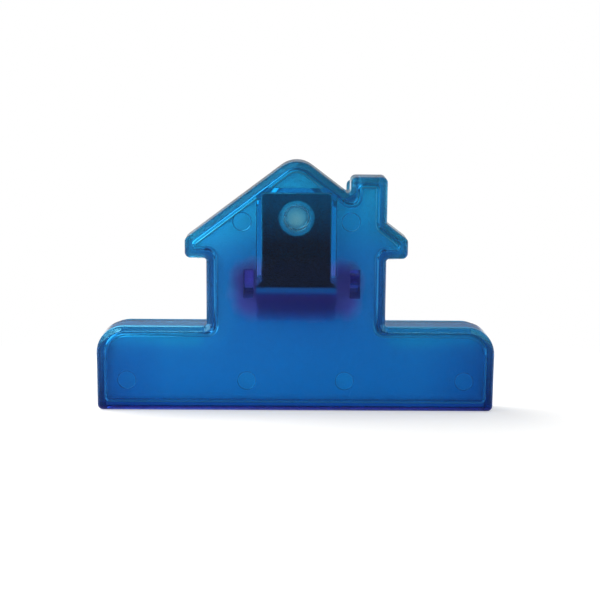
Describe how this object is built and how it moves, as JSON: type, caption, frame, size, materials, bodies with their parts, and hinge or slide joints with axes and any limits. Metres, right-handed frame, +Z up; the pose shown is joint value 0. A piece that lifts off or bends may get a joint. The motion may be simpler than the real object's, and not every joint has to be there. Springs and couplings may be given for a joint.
{
  "type": "bag clip",
  "caption": "Wide spring clip that pinches a bag shut: two hinged translucent trays with a house-shaped handle and a bent steel strip inside.",
  "frame": {"origin": "on the surface that the closed clip stands on, midway between the two halves and under the middle of the jaw bar", "axes": "+X along the jaw bar to the chimney's side, +Y from the front half to the rear half, +Z up from the lips to the roof"},
  "size_m": [0.1016, 0.0366, 0.0642],
  "materials": {
    "translucent_plastic": "clear blue moulded plastic, polished outside and finely matt inside",
    "spring_steel": "dark tempered spring strip"
  },
  "bodies": {
    "front": {"front_half": "translucent_plastic", "leaf_spring": "spring_steel"},
    "rear": {"rear_half": "translucent_plastic"}
  },
  "joints": [
    {"name": "jaw_hinge", "type": "hinge", "parent": "front", "child": "rear", "pos_m": [0, 0, 0.03457], "axis": [1, 0, 0], "range_deg": [0, 38], "stiffness_Nm_per_rad": 0.15, "springref_deg": -22.92, "deforming": ["leaf_spring"]}
  ]
}
